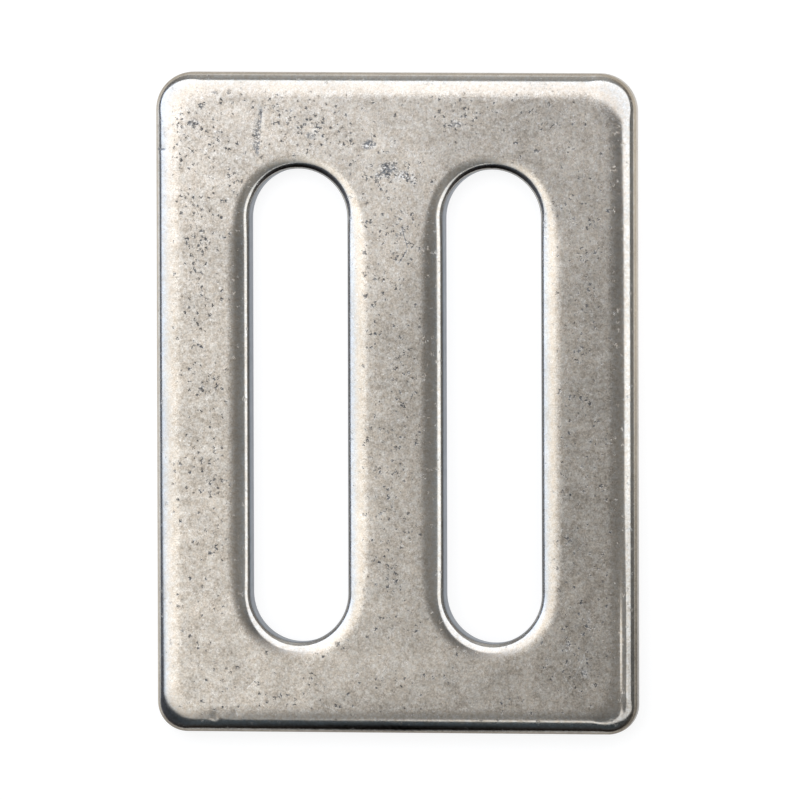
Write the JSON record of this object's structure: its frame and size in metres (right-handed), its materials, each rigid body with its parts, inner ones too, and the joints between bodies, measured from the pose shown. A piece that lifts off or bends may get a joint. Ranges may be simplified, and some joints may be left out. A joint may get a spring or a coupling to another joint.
{
  "type": "webbing slider",
  "caption": "Flat rectangular stamped steel plate with rolled edges and long parallel slots, which webbing threads through to hold, join or shorten a strap.",
  "frame": {"origin": "centre of the back face, midway between the plate's edges", "axes": "+X across the slots, +Y along the slots towards the wider end bar, +Z out of the face whose edges are rolled over"},
  "size_m": [0.0516, 0.07, 0.0032],
  "materials": {
    "steel": "tumbled satin, warm grey, finely pitted"
  },
  "bodies": {
    "root": {"slider_plate": "steel"}
  },
  "joints": []
}
